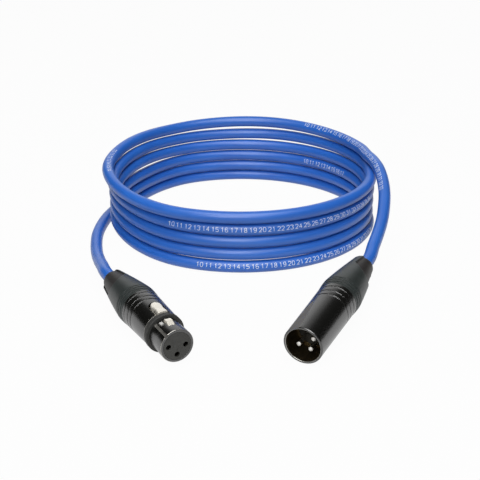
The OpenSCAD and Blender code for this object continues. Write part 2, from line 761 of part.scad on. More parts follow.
// Rubber boot, slimmer towards the cable, with ring grooves and two thumb recesses
module boot_body() {
    steps = 24;
    lip_r = 1;
    flange_start = boot_start + boot_gap;
    pocket_r = flange_d / 2 + boot_gap;
    sleeve_r = tail_d / 2 + boot_gap;
    bore_r = cable_r + boot_cable_gap;
    pocket_end = flange_start + bushing_flange_len + boot_gap;
    difference() {
        rotate_extrude() polygon(concat(
            [for (i = [0 : steps])
                let (z = boot_start + (boot_len - lip_r) * i / steps) [boot_profile(z), z]],
            [for (a = [15 : 15 : 90])
                [boot_profile(boot_end - lip_r) - lip_r * (1 - cos(a)), boot_end - lip_r + lip_r * sin(a)]],
            [[bore_r, boot_end], [bore_r, bushing_end + boot_gap], [sleeve_r, bushing_end + boot_gap],
                [sleeve_r, pocket_end], [pocket_r, pocket_end], [pocket_r, boot_start]]
        ));
        for (z = boot_grooves) ring_groove(boot_start + z, boot_profile(boot_start + z));
        difference() {
            for (a = [0, 180]) rotate([0, 0, a]) thumb_recess();
            rotate_extrude() polygon(concat(
                [for (i = [0 : steps])
                    let (z = boot_wide + (boot_end - boot_wide) * i / steps)
                    [boot_profile(z) - recess_depth, z]],
                [[boot_profile(boot_end) - recess_depth, boot_end + 2 * over], [0, boot_end + 2 * over],
                    [0, boot_wide]]
            ));
        }
    }
}

// Outline of a thumb recess: round at the front, open at the boot's rear end
module thumb_recess() {
    translate([0, ridge_w / 2, 0]) rotate([-90, 0, 0]) linear_extrude(height = boot_r) mirror([0, 1]) {
        translate([0, recess_middle]) circle(r = recess_r);
        translate([-recess_r, recess_middle]) square([2 * recess_r, boot_end + over - recess_middle]);
    }
}

// Three insulated conductors from the cut sheath to the solder cups
module conductors_body() {
    lay_r = 1.5;                            // where the conductors lie side by side in the cable
    bend = 1.5;
    step_in = lay_r - contact_r;
    for (n = [0 : 2]) at_contact(n)
        tube([
            [0, 0, cup_start + contact_fit], [0, 0, cup_end + bend], [0, step_in, jacket_end - bend],
            [0, step_in, jacket_end - contact_fit]
        ], conductor_d / 2, lead_sides, [1, 0, 0]);
}

module female_chuck() color("#e4e1d8") at_female() chuck_body();

module female_bushing() color("#3a3a3c") at_female() bushing_body();

module female_boot() color("#4a5255") at_female(female_boot_roll) boot_body();

module female_conductors() color("#b03a30") at_female() conductors_body();

module male_chuck() color("#e4e1d8") at_male() chuck_body();

module male_bushing() color("#3a3a3c") at_male() bushing_body();

module male_boot() color("#4a5255") at_male(male_boot_roll) boot_body();

module male_conductors() color("#b03a30") at_male() conductors_body();

// ---------------------------------------------------------------- cable

module cable_coil() color("#3565c2") tube(coil_path, cable_r, coil_sides);

module lead_female() color("#3565c2") tube(lead_female_path, cable_r, lead_sides);

module lead_male() color("#3565c2") tube(lead_male_path, cable_r, lead_sides);

female_shell();
female_insert();
socket_contact(0);  // socket_contact_1
socket_contact(1);  // socket_contact_2
socket_contact(2);  // socket_contact_3
latch_lever();
latch_pin();
latch_spring();
female_ground_contact();
female_chuck();
female_bushing();
female_boot();
female_conductors();
male_shell();
male_insert();
contact_pin(0);  // contact_pin_1
contact_pin(1);  // contact_pin_2
contact_pin(2);  // contact_pin_3
male_ground_contact();
male_chuck();
male_bushing();
male_boot();
male_conductors();
cable_coil();
lead_female();
lead_male();
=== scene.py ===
# %% [markdown]
# # A coiled microphone cable with its two connectors
# The real thing is a 3 m microphone cable. It lies in a free-standing coil, and its two ends
# carry a 3-pole female and a 3-pole male connector with black metal shells and rubber boots. The
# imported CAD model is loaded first, as a fixed frame: it says where each piece is and which piece
# moves with which body. Everything below ends up in metres, in that same frame.

# %% Load the frame
import math

import bmesh
import bpy
import numpy as np
from mathutils import Matrix, Vector


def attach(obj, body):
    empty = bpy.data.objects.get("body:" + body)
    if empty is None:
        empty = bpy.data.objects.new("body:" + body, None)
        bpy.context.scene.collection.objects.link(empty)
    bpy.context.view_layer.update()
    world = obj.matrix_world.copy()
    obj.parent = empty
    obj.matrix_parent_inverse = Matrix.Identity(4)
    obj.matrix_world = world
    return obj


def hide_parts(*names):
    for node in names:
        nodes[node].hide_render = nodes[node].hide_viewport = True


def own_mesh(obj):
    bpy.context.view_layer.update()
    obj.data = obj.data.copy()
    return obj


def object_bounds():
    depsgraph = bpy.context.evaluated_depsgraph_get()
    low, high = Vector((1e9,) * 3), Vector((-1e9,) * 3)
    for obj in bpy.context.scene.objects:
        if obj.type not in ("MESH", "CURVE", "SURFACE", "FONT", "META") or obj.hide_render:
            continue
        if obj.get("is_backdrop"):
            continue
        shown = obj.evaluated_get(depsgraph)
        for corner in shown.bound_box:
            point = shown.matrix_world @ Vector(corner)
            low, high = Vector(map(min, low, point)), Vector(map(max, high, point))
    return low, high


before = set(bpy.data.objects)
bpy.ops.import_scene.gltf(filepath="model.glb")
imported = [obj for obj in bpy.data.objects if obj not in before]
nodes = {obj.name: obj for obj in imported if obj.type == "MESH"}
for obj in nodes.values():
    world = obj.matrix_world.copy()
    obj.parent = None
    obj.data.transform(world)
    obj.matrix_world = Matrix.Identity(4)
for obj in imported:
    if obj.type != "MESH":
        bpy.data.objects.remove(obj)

cad_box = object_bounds()
MM = 0.001


def in_mm(point, digits=1):
    """A point in metres, as rounded millimetres to print."""
    return [round(v / MM, digits) for v in point]


print("CAD nodes:", len(nodes), "box (mm):", [in_mm(p) for p in cad_box])

# %% [markdown]
# ## Camera
# A product camera looks down at the coil from the front with a long lens, so that the far
# strands are not much smaller than the near ones. A long lens is a large focal length on the
# same sensor. The camera's position follows from the point it looks at, its distance and its
# elevation.

# %% Camera
LENS, SENSOR = 78.4, 36  # mm
LOOK_AT = Vector((-0.9, 0, -12.6)) * MM
DISTANCE, ELEVATION = 620 * MM, math.radians(22.6)
back = Vector((0, -math.cos(ELEVATION), math.sin(ELEVATION)))
camera = bpy.data.objects.new("camera", bpy.data.cameras.new("camera"))
bpy.context.scene.collection.objects.link(camera)
camera.data.lens, camera.data.sensor_width, camera.data.sensor_fit = LENS, SENSOR, "HORIZONTAL"
camera.data.clip_start, camera.data.clip_end = 0.01, 20
camera.location = LOOK_AT + back * DISTANCE
camera.rotation_mode = "QUATERNION"
camera.rotation_quaternion = (-back).to_track_quat("-Z", "Y")
bpy.context.scene.camera = camera
print("camera at (mm):", in_mm(camera.location))

# %% [markdown]
# ## Where the connectors stand
# Each connector is easiest to make along its own axis, in millimetres: z runs from the mating
# face to the cable and y points to the latch. One matrix then carries it to its place on the
# table. The female one rests on the widest ring of its boot and the male one on the rim of its
# mouth. The angles and places are those of the CAD.

# %% Placing a connector
BOOT_R, BOOT_WIDE, MOUTH_R = 10.1, 45.5, 9.25
FEMALE_YAW, FEMALE_TILT, MALE_YAW, MALE_TILT = 27.8, 0.4, -26.3, 6  # degrees


def placing(face, yaw, tilt, roll):
    """The matrix that carries a connector from its own axis in mm to the table in metres."""
    turn = Matrix.Rotation(math.radians(180 + yaw), 4, "Z")
    tip = Matrix.Rotation(math.radians(90 - tilt), 4, "X")
    spin = Matrix.Rotation(math.radians(roll), 4, "Z")
    return Matrix.Translation(Vector(face) * MM) @ turn @ tip @ spin @ Matrix.Scale(MM, 4)


FEMALE_FACE = (-28, -173, BOOT_R + 0.05 - BOOT_WIDE * math.sin(math.radians(FEMALE_TILT)))
MALE_FACE = (26.3, -172, MOUTH_R * math.cos(math.radians(MALE_TILT)) + 0.15)
# A boot screws on, so it ends up at a roll of its own.
FEMALE = placing(FEMALE_FACE, FEMALE_YAW, FEMALE_TILT, roll=2)
FEMALE_BOOT = placing(FEMALE_FACE, FEMALE_YAW, FEMALE_TILT, roll=-48)
MALE = placing(MALE_FACE, MALE_YAW, MALE_TILT, roll=-31)
MALE_BOOT = placing(MALE_FACE, MALE_YAW, MALE_TILT, roll=67)
print("faces (mm):", in_mm(FEMALE.translation, 2), in_mm(MALE.translation, 2))

# %% [markdown]
# ## Winding
# A cable has one fixed length, so its route is one smooth curve from connector to connector. The
# winding is a formula: every turn keeps level and then drops by one pitch on the left, so that
# the turns lie on each other. A coil that is wound by hand is never that even, so a few round
# humps lift a turn, or push it in or out.

# %% Winding
CABLE_D, PITCH, COIL_R, TURNS = 6.4, 6.85, 73.5, 5
START_ANGLE, END_ANGLE = 10, 1950
COIL_TOP = CABLE_D / 2 + TURNS * PITCH
DROP_START, DROP_ANGLE = 155, 90  # where a turn starts to drop, and over how many degrees
TURN_OUT = [0, 0.6, -0.3, -0.5, -0.5, 0.4, 0.4]  # how far each turn lies outside the mean radius
# A hump: its height in mm, its middle and half its length in degrees, and the turns that have it.
LIFTS = [(1.65, 79, 60, (0,)), (0.55, 70, 36, (1,)), (1.2, 150, 32, (0, 1, 2))]
BULGES = [(2.8, 180, 100, (0,)), (-3.5, 152, 39, (0, 1, 2, 3, 4, 5))]


def smoothstep(t):
    """Rises from 0 to 1 with soft ends."""
    t = min(max(t, 0), 1)
    return t * t * (3 - 2 * t)


def hump(angle, middle, half):
    """A round hump of height 1 around one angle."""
    near = abs(angle - middle) < half
    return (1 + math.cos(math.pi * (angle - middle) / half)) / 2 if near else 0


def humps(table, turn, angle):
    """The sum of the humps that a turn has at an angle."""
    return sum(height * hump(angle, middle, half)
               for height, middle, half, turns in table if turn in turns)


def winding(angle):
    """The middle of the cable at an angle along the winding, in millimetres."""
    turn, a = divmod(angle, 360)
    slope = smoothstep((a - DROP_START) / DROP_ANGLE)
    out = TURN_OUT[turn] * (1 - slope) + TURN_OUT[turn + 1] * slope
    r = COIL_R + out + humps(BULGES, turn, a)
    z = COIL_TOP - PITCH * (turn + slope) + humps(LIFTS, turn, a)
    return Vector((r * math.cos(math.radians(a)), r * math.sin(math.radians(a)), z))


print("winding starts at", [round(v, 1) for v in winding(START_ANGLE)], "mm")

# %% [markdown]
# ## Leads
# The two ends leave the coil and run to the connectors. They are laid by hand, as a person would
# lay them on a table, so their route is a short list of points at the underside of the cable.
# Points just beside the ends of the winding keep its direction. The last few lie on the
# connector's axis, because the cable comes out of a boot straight.

# %% Leads and the whole route
FEMALE_ROUTE = [(-68.3, 23.5, 0), (-74.2, 11.5, 0), (-78.1, -2, 0), (-80.1, -16, 0),
                (-80.7, -30, 0), (-79.6, -44, 0), (-77.4, -58, 0.4), (-74.3, -71.5, 2),
                (-70.9, -85, 4.8)]
MALE_ROUTE = [(66.3, -86.8, 16.7), (70, -75, 18.8), (73.5, -62.5, 21.3), (76.1, -49.5, 24.5),
              (77.8, -36.5, 27.7), (78.2, -24, 30.5), (77.4, -12.5, 33), (75.4, -1, 34.1)]
INSIDE = (50, 58, 71, 84)  # places along a connector's axis, from inside its boot to behind it
WINDING_STEP = 5  # degrees


def laid(route):
    """The middle of the cable over points at its underside."""
    return [Vector(p) + Vector((0, 0, CABLE_D / 2)) for p in route]


def along_axis(place):
    """Points on a connector's axis, in millimetres."""
    return [place @ Vector((0, 0, z)) / MM for z in INSIDE]


def beside(angle, sign):
    """A point one cable width before or after a place on the winding, at the same level."""
    way = Vector((-math.sin(math.radians(angle)), math.cos(math.radians(angle)), 0))
    return winding(angle) + sign * CABLE_D * way


between = range(START_ANGLE + 2 * WINDING_STEP, END_ANGLE - WINDING_STEP, WINDING_STEP)
control = along_axis(MALE) + laid(MALE_ROUTE)
control += [beside(START_ANGLE, -1), winding(START_ANGLE), beside(START_ANGLE, 1)]
control += [winding(a) for a in between] + [winding(END_ANGLE), beside(END_ANGLE, 1)]
control += laid(FEMALE_ROUTE) + along_axis(FEMALE)[::-1]
print(len(control), "control points")

# %% [markdown]
# ## One smooth curve
# A Catmull-Rom spline joins the points, because it passes through all of them without corners.
# Its centripetal kind spaces the knots by the square root of the distance, so it never makes a
# loop where points lie close together. The curve is then cut into equal steps, for even rings of
# points.

# %% Smooth curve
ROUTE_STEP, SPLIT = 2, 12  # mm between the final points; points between two control points


def blend(p, q, start, end, t):
    """Moves from p at one knot to q at another."""
    return (end - t) / (end - start) * p + (t - start) / (end - start) * q


def smooth(points, step):
    """A centripetal Catmull-Rom spline through the points, cut into equal steps."""
    p = np.array([list(v) for v in points])
    p = np.vstack([2 * p[0] - p[1], p, 2 * p[-1] - p[-2]])
    out = []
    for i in range(1, len(p) - 2):
        q = p[i - 1:i + 3]
        gaps = np.linalg.norm(np.diff(q, axis=0), axis=1)
        knot = np.concatenate([[0], np.cumsum(np.sqrt(gaps))])
        t = np.linspace(knot[1], knot[2], SPLIT, endpoint=False)[:, None]
        a = [blend(q[k], q[k + 1], knot[k], knot[k + 1], t) for k in range(3)]
        b = [blend(a[k], a[k + 1], knot[k], knot[k + 2], t) for k in range(2)]
        out.append(blend(b[0], b[1], knot[1], knot[2], t))
    line = np.vstack(out + [p[-2:-1]])
    run = np.concatenate([[0], np.cumsum(np.linalg.norm(np.diff(line, axis=0), axis=1))])
    at = np.linspace(0, run[-1], round(run[-1] / step) + 1)
    return np.stack([np.interp(at, run, line[:, k]) for k in range(3)], axis=1), at


route, run = smooth(control, ROUTE_STEP)
print("cable between the two clamps: %.0f mm" % run[-1])

# %% [markdown]
# ## A mesh from points and faces
# Every piece below is built from numbers: a list of points, a list of faces, and then smooth
# shading with sharp edges only where two faces meet at a steep angle. One function does this for
# all pieces. Inserts, contacts, bushings and what lies inside stay as the CAD made them, and
# only get a finish.

# %% Mesh helper
def piece(name, points, faces, body, sharp=35):
    """A mesh piece that rides on a CAD body. The points are in metres."""
    mesh = bpy.data.meshes.new(name)
    mesh.from_pydata([tuple(p) for p in points], [], [tuple(f) for f in faces])
    mesh.validate()
    finish_mesh(mesh, sharp)
    obj = bpy.data.objects.new(name, mesh)
    bpy.context.scene.collection.objects.link(obj)
    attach(obj, body)
    return obj


def finish_mesh(mesh, sharp):
    """Outward normals and smooth shading, with sharp edges above an angle in degrees."""
    bm = bmesh.new()
    bm.from_mesh(mesh)
    bmesh.ops.recalc_face_normals(bm, faces=bm.faces)
    bm.to_mesh(mesh)
    bm.free()
    mesh.shade_smooth()
    mesh.set_sharp_from_angle(angle=math.radians(sharp))

# %% [markdown]
# ## Cable
# The jacket is a PVC tube pressed round the wires, so it is a round tube of one diameter. A ring
# of points follows the route. At each point, "side" is level and square to the cable, and
# "above" is square to both, so the rings never twist, and a print can later be laid on the
# surface. A curve with a bevel would give the same tube, but not these two directions.

# %% Jacket of the cable
SIDES, SWELL = 24, 0.05  # the soft jacket swells a little where it is bent
JACKET_R = CABLE_D / 2 + SWELL
way = np.gradient(route, axis=0)
way /= np.linalg.norm(way, axis=1)[:, None]
side = np.cross(way, (0, 0, 1))
side /= np.linalg.norm(side, axis=1)[:, None]
above = np.cross(side, way)


def tube(line, across, up, radius, sides):
    """Points and faces of a closed round tube."""
    a = np.linspace(0, 2 * math.pi, sides, endpoint=False)
    points = line[:, None] + radius * (np.cos(a)[None, :, None] * across[:, None]
                                       + np.sin(a)[None, :, None] * up[:, None])
    n = len(line)
    faces = [(i * sides + k, i * sides + (k + 1) % sides, (i + 1) * sides + (k + 1) % sides,
              (i + 1) * sides + k) for i in range(n - 1) for k in range(sides)]
    faces += [tuple(range(sides)), tuple(range((n - 1) * sides, n * sides))]
    return points.reshape(-1, 3), faces


points, faces = tube(route, side, above, JACKET_R, SIDES)
cable = piece("cable", points * MM, faces, "cable", sharp=60)
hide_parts("cable_coil", "lead_female", "lead_male")
print("cable mesh:", len(points), "points")

# %% [markdown]
# ## Digits
# Cables carry a line of small white print. Here it is a plain count of two-digit numbers. A text
# object would need a font and stays flat, so each digit is drawn from a few strokes in a box 0.6
# wide and 1 high.

# %% Strokes of the digits
DIGITS = {
    "0": [[(0, .2), (0, .8), (.15, 1), (.45, 1), (.6, .8), (.6, .2), (.45, 0), (.15, 0), (0, .2)]],
    "1": [[(.1, .76), (.34, 1), (.34, 0)]],
    "2": [[(0, .78), (.14, 1), (.46, 1), (.6, .8), (.6, .62), (0, 0), (.6, 0)]],
    "3": [[(0, .86), (.15, 1), (.45, 1), (.6, .84), (.6, .68), (.42, .53), (.6, .38), (.6, .16),
           (.45, 0), (.15, 0), (0, .14)]],
    "4": [[(.46, 0), (.46, 1), (0, .3), (.62, .3)]],
    "5": [[(.55, 1), (.06, 1), (.02, .56), (.4, .6), (.6, .42), (.6, .18), (.45, 0), (.15, 0),
           (0, .12)]],
    "6": [[(.54, .9), (.4, 1), (.16, 1), (0, .76), (0, .2), (.15, 0), (.45, 0), (.6, .2), (.6, .38),
           (.45, .56), (.15, .56), (.02, .42)]],
    "7": [[(0, 1), (.6, 1), (.24, 0)]],
    "8": [[(.3, .53), (.1, .62), (.05, .85), (.18, 1), (.42, 1), (.55, .85), (.5, .62), (.3, .53),
           (.06, .42), (0, .18), (.15, 0), (.45, 0), (.6, .18), (.54, .42), (.3, .53)]],
    "9": [[(.06, .1), (.2, 0), (.44, 0), (.6, .24), (.6, .8), (.45, 1), (.15, 1), (0, .8), (0, .62),
           (.15, .44), (.45, .44), (.58, .58)]],
}
print("digits:", "".join(DIGITS))

# %% [markdown]
# ## From strokes to a closed print
# A stroke first gets more points, so that it bends closely round the cable. It then becomes a
# flat ribbon with a left and a right edge, and last a thin closed bar: its top is the ink and
# its underside lies just inside the surface, so the print holds from any side.

# %% Bars from strokes
DIGIT_W = 0.6


def fine(stroke, step=0.18):
    """The stroke with more points, so that it bends closely round the cable."""
    points = [stroke[0]]
    for a, b in zip(stroke, stroke[1:]):
        parts = math.ceil(math.dist(a, b) / step)
        points += [(a[0] + (b[0] - a[0]) * i / parts, a[1] + (b[1] - a[1]) * i / parts)
                   for i in range(1, parts + 1)]
    return points


def ribbon(stroke, width):
    """Left and right edges of a stroke, with mitred corners."""
    p = np.array(stroke, float)
    d = np.diff(p, axis=0)
    d /= np.linalg.norm(d, axis=1)[:, None]
    d = np.vstack([d[:1], d, d[-1:]])
    mean = d[:-1] + d[1:]
    mean /= np.maximum(np.linalg.norm(mean, axis=1), 1e-6)[:, None]
    stretch = 1 / np.maximum((mean * d[1:]).sum(1), 0.6)
    out = np.stack([-mean[:, 1], mean[:, 0]], axis=1) * (stretch * width / 2)[:, None]
    return p + out, p - out


def write(text, height, stroke, gap, lay):
    """Points and faces of a line of text; lay(x, y, h) puts a flat point on a surface."""
    points, faces, x0 = [], [], 0
    for letter in text:
        for line in DIGITS[letter]:
            left, right = ribbon(np.array(fine(line)) * height, stroke)
            first, n = len(points), len(left)
            for (xl, yl), (xr, yr) in zip(left, right):
                points += [lay(x0 + xl, yl, 1), lay(x0 + xr, yr, 1),
                           lay(x0 + xr, yr, 0), lay(x0 + xl, yl, 0)]
            for i in range(n - 1):
                for k in range(4):
                    a, b = first + 4 * i + k, first + 4 * i + (k + 1) % 4
                    faces.append((a, b, b + 4, a + 4))
            last = first + 4 * n
            faces += [tuple(range(first, first + 4)), tuple(range(last - 4, last))]
        x0 += (DIGIT_W + gap) * height
    return points, faces


print("a 4 has", len(fine(DIGITS["4"][0])), "points after refining")

# %% [markdown]
# ## Printed count on the jacket
# The numbers count up from 10 at equal distances. A jacket twists a little as it is wound, so
# the line of print comes to the top of the coil in some places and rolls out of sight in others.
# Each stretch of print therefore has its own place, roll and direction.

# %% Lay the print on the jacket
PRINT_H, PRINT_STROKE, PRINT_STEP, PRINT_GAP, FIRST = 2.25, 0.29, 4.7, 0.3, 10
PRINT_OUT, PRINT_IN = 0.03, -0.08  # the ink stands a little proud, its underside is in the jacket
TURN = 360
# start angle on the winding, roll round the cable, direction, how many numbers
PRINTS = [(240 + TURN, -6, 1, 27), (252 + 4 * TURN, 2, 1, 25), (56, 148, -1, 24),
          (56 + 3 * TURN, 185, -1, 8), (172, 80, 1, 7)]


def on_cable(start, roll, sign):
    """A function that bends flat print round the cable, from a place and at a roll angle."""
    def lay(x, y, h):
        s = start + sign * x
        c, u, w = (np.array([np.interp(s, run, v[:, k]) for k in range(3)])
                   for v in (route, side, above))
        a = math.radians(roll) + sign * y / JACKET_R
        r = JACKET_R + (PRINT_OUT if h else PRINT_IN)
        return (c + r * (math.cos(a) * u + math.sin(a) * w)) * MM
    return lay


def run_at(angle):
    """How far along the route the winding has an angle."""
    return run[np.argmin(np.linalg.norm(route - np.array(winding(angle)), axis=1))]


def add_to(points, faces, more):
    """Adds another closed shape to the same piece."""
    p, f = more
    faces += [tuple(len(points) + i for i in face) for face in f]
    points += list(p)


points, faces = [], []
for angle, roll, sign, count in PRINTS:
    for i in range(count):
        lay = on_cable(run_at(angle) + sign * i * PRINT_STEP, roll, sign)
        add_to(points, faces, write(str(FIRST + i), PRINT_H, PRINT_STROKE, PRINT_GAP, lay))
scale_print = piece("printed_count", points, faces, "cable")
print("printed strokes:", len(faces), "faces")

# %% [markdown]
# ## Turned metal shells
# A shell is cast and then turned on a lathe, so it is one outline spun round its axis. Real
# edges are never knife sharp: each corner of the outline gets a small arc, which catches the
# light as a thin line. A Bevel modifier could do that too, but not on the outline alone. Where a
# flat is milled or a thumb has its recess, a function changes the radius of the spun points.

# %% Turning helpers
STRAIGHT = -0.98  # cosine between the two sides of a corner that needs no rounding
ARC_POINTS, LONGEST_CUT = 5, 0.45  # an arc takes at most this share of each side


def rounded(outline, radius):
    """The closed outline with each corner turned into a small arc."""
    out, n = [], len(outline)
    for i in range(n):
        a, b, c = (np.array(outline[(i + k) % n], float) for k in (-1, 0, 1))
        before, after = np.linalg.norm(a - b), np.linalg.norm(c - b)
        u, v = (a - b) / before, (c - b) / after
        if (u * v).sum() < STRAIGHT:
            out.append(b)
            continue
        cut = min(radius, LONGEST_CUT * before, LONGEST_CUT * after)
        for t in np.linspace(0, 1, ARC_POINTS):
            out.append((1 - t) ** 2 * (b + cut * u) + 2 * t * (1 - t) * b
                       + t * t * (b + cut * v))
    return out


def stations(outline, step):
    """Extra points on the long straight parts, so that a limit can act along them."""
    out = []
    for a, b in zip(outline, outline[1:] + outline[:1]):
        n = max(1, int(np.linalg.norm(np.array(b) - np.array(a)) / step))
        out += [np.array(a) + (np.array(b) - np.array(a)) * k / n for k in range(n)]
    return out


def spun(outline, place, segments=160, limit=None):
    """Points and faces of an outline spun round z, held back by a limit(z, angle)."""
    points, n = [], len(outline)
    for k in range(segments):
        a = 2 * math.pi * k / segments
        for r, z in outline:
            r = limit(r, z, a) if limit else r
            points.append(place @ Vector((-r * math.sin(a), r * math.cos(a), z)))
    faces = [(k * n + i, k * n + (i + 1) % n, (k + 1) % segments * n + (i + 1) % n,
              (k + 1) % segments * n + i) for k in range(segments) for i in range(n)]
    return points, faces


def grooved(r, places, width=0.6, depth=0.3, lean=0.06):
    """Outline points of ring grooves with leaning walls, in an outside of radius r(z)."""
    out = []
    for z in places:
        out += [(r(z), z), (r(z) - depth, z + lean), (r(z) - depth, z + width - lean),
                (r(z + width), z + width)]
    return out


corner = rounded([(0, 0), (1, 0), (1, 1)], 0.2)
print("a rounded corner:", [tuple(np.round(p, 2)) for p in corner[:3]])

# %% [markdown]
# ## Cutting openings
# The window of the latch, the slot of its tooth and the key groove are milled after turning.
# Blender's Boolean modifier with the exact solver does the same: a cutter is taken away from the
# shell. The result is copied into the mesh, and the cutters are deleted.

# %% Boolean helper
def prism(outline, low, high, place):
    """A cutter: an outline in x and z, pushed along y from low to high."""
    n = len(outline)
    points = [place @ Vector((x, y, z)) for y in (low, high) for x, z in outline]
    faces = [tuple(range(n)), tuple(range(n, 2 * n))]
    faces += [(i, (i + 1) % n, n + (i + 1) % n, n + i) for i in range(n)]
    return points, faces


def cut(obj, cutters, sharp=35):
    """Takes the cutters away from the piece and keeps the result in its mesh."""
    for points, faces in cutters:
        mesh = bpy.data.meshes.new("cutter")
        mesh.from_pydata([tuple(p) for p in points], [], faces)
        finish_mesh(mesh, sharp)
        tool = bpy.data.objects.new("cutter", mesh)
        bpy.context.scene.collection.objects.link(tool)
        modifier = obj.modifiers.new("cut", "BOOLEAN")
        modifier.operation, modifier.solver, modifier.object = "DIFFERENCE", "EXACT", tool
        bpy.context.view_layer.update()
        seen = obj.evaluated_get(bpy.context.evaluated_depsgraph_get())
        result = bpy.data.meshes.new_from_object(seen)
        obj.modifiers.clear()
        obj.data = result
        bpy.data.objects.remove(tool)
    finish_mesh(obj.data, sharp)


def strip(angle, r_low, r_high, width, z0, z1, place):
    """A bar along z at a radius and an angle, as points and faces."""
    turn = place @ Matrix.Rotation(math.radians(angle), 4, "Z")
    half = width / 2
    return prism([(-half, z0), (half, z0), (half, z1), (-half, z1)], r_low, r_high, turn)

# %% [markdown]
# ## Female shell
# Its front is a thin barrel that goes into the other connector's mouth. Behind the seat of the
# collar the body widens slowly, and three fine grooves at the rear give grip. Radius and
# distance from the mating face are written down corner by corner, as on a drawing for the lathe.

# %% Female shell
SHELL_LEN, SHELL_FRONT_R, SHELL_REAR_R = 39.4, 8.95, 9.75
BARREL_LEN, BARREL_R, BORE_R, COLLAR_END, EDGE = 12.5, 7.85, 6.6, 15.1, 0.12


def female_r(z):
    """Outside radius of the slightly conical body."""
    share = (z - COLLAR_END) / (SHELL_LEN - COLLAR_END)
    return SHELL_FRONT_R + (SHELL_REAR_R - SHELL_FRONT_R) * share


outline = [(BORE_R, 0), (7.62, 0), (BARREL_R, 0.25), (BARREL_R, 5.2), (7.65, 5.3), (7.65, 12.62),
           (8.58, 12.62), (8.58, 15.15), (8.65, 15.15), (8.65, 15.7), (female_r(15.7), 15.7)]
outline += grooved(female_r, (30, 33.3, 37))
outline += [(SHELL_REAR_R, SHELL_LEN), (7.9, SHELL_LEN), (7.9, 14), (BORE_R, 14)]
points, faces = spun(rounded(outline, EDGE), FEMALE, 192)
female_shell = piece("female_shell_turned", points, faces, "cable")
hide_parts("female_shell")
print("female shell:", len(faces), "faces before cutting")

# %% [markdown]
# ## Openings in the female shell
# The latch's window has straight sides and a round rear end. In front of the collar lie the slot
# for the latch's tooth, a small window for the ground contact and, 42 degrees round from the
# latch, the groove for the other connector's key.

# %% Openings in the female shell
KEY_ANGLE = 42
WINDOW_START, WINDOW_END, WINDOW_R = 15.12, 26.4, 3.5
middle = WINDOW_END - WINDOW_R
window = [(-WINDOW_R, WINDOW_START)]
window += [(WINDOW_R * math.cos(a), middle + WINDOW_R * math.sin(a))
           for a in np.linspace(math.pi, 0, 25)]
window += [(WINDOW_R, WINDOW_START)]
cut(female_shell, [
    prism(window, 0, 12, FEMALE),  # the latch's tab
    strip(0, 0, 9, 3.8, 5.4, 11.3, FEMALE),  # the latch's tooth
    strip(-25, 5.6, 9, 2.2, 8.2, 11.2, FEMALE),  # the ground contact
    strip(-KEY_ANGLE, 7.05, 9, 1.5, -1, BARREL_LEN, FEMALE),  # the key
])
print("female shell:", len(female_shell.data.polygons), "faces")

# %% [markdown]
# ## Collar
# The ring behind the barrel stops the other connector. On the real one it is part of the shell,
# with the same black plating. Here it is a piece of its own, so that it can get its own finish: a
# painted matt grey that stands in for the way its faces mirror the room.

# %% Collar
COLLAR_R, SEAT_R = 9.25, 8.6
outline = [(7.66, BARREL_LEN), (COLLAR_R - 0.2, BARREL_LEN), (COLLAR_R, 12.7), (COLLAR_R, 14.9),
           (COLLAR_R - 0.2, COLLAR_END), (SEAT_R, COLLAR_END), (SEAT_R, 12.6), (7.66, 12.6)]
points, faces = spun(rounded(outline, 0.08), FEMALE, 160)
collar = piece("female_collar_turned", points, faces, "cable")
print("collar:", len(faces), "faces")

# %% [markdown]
# ## Male shell
# Its mouth takes the other connector's barrel. A long flat is milled on top, deep at the mouth
# and running out to nothing, so its edge is an arch. It is made by holding the radius of the
# spun points below a plane, which leaves clean faces along the arch. Inside the mouth a key
# stands up from the wall, and a small pocket in its floor holds the ground contact.

# %% Male shell
FLAT_LEN, FLAT_DEPTH = 24, 1.005
NEAR_TOP = 0.8  # cosine of the angle from the top within which the flat lies


def male_r(z):
    """Outside radius of the slightly conical shell."""
    return MOUTH_R + (SHELL_REAR_R - MOUTH_R) * z / SHELL_LEN


def milled(r, z, a):
    """Holds the outside below the plane of the long flat."""
    if r < 8.5 or z > FLAT_LEN:
        return r
    flat = male_r(FLAT_LEN) - FLAT_DEPTH * (FLAT_LEN - z) / FLAT_LEN
    return min(r, flat / math.cos(a)) if math.cos(a) > NEAR_TOP else r


outline = [(7.95, 6), (8.15, 2.4), (8.15, 0.25), (8.35, 0), (8.95, 0), (male_r(0.3), 0.3)]
outline += grooved(male_r, (29.2, 32.7, 36.4))
outline += [(SHELL_REAR_R, SHELL_LEN), (7.9, SHELL_LEN), (7.9, 12.5), (7, 12.5), (7, 12),
            (7.95, 12)]
points, faces = spun(stations(rounded(outline, EDGE), 0.8), MALE, 256, milled)
add_to(points, faces, strip(KEY_ANGLE, 7.15, 8.3, 1.3, 2.7, 12.1, MALE))
male_shell = piece("male_shell_turned", points, faces, "cable", sharp=18)
cut(male_shell, [strip(70, 5.9, 7.95, 2.2, 11, 12.6, MALE)], 18)
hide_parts("male_shell")
print("male shell:", len(male_shell.data.polygons), "faces")

# %% [markdown]
# ## Rubber boots
# A boot is moulded in soft rubber over the screwed bushing. It swells a little and then tapers
# to the cable, carries three fine grip rings, and has a shallow recess for the thumb on two
# sides, round in front and open at the rear. A recess could be cut with a Boolean, but that
# leaves a hard edge and a flat floor. Here the radius is simply less inside its outline, with a
# soft step at the edge, so the floor follows the taper. The bore flares to the rear, so that the
# cable can bend there.

# %% Shape of a boot
BOOT_START, BOOT_END, TAPER, TAPER_POWER, FRONT_FALL = 39.5, 75.5, 4.2, 1.15, 0.3
RECESS_MIDDLE, RECESS_R, RECESS_DEPTH, RIDGE = 66.5, 7, 0.8, 2.5
STEP_WIDTH, STEP_SHIFT = 0.4, 0.4  # the soft step at a recess's edge, and how far out it starts


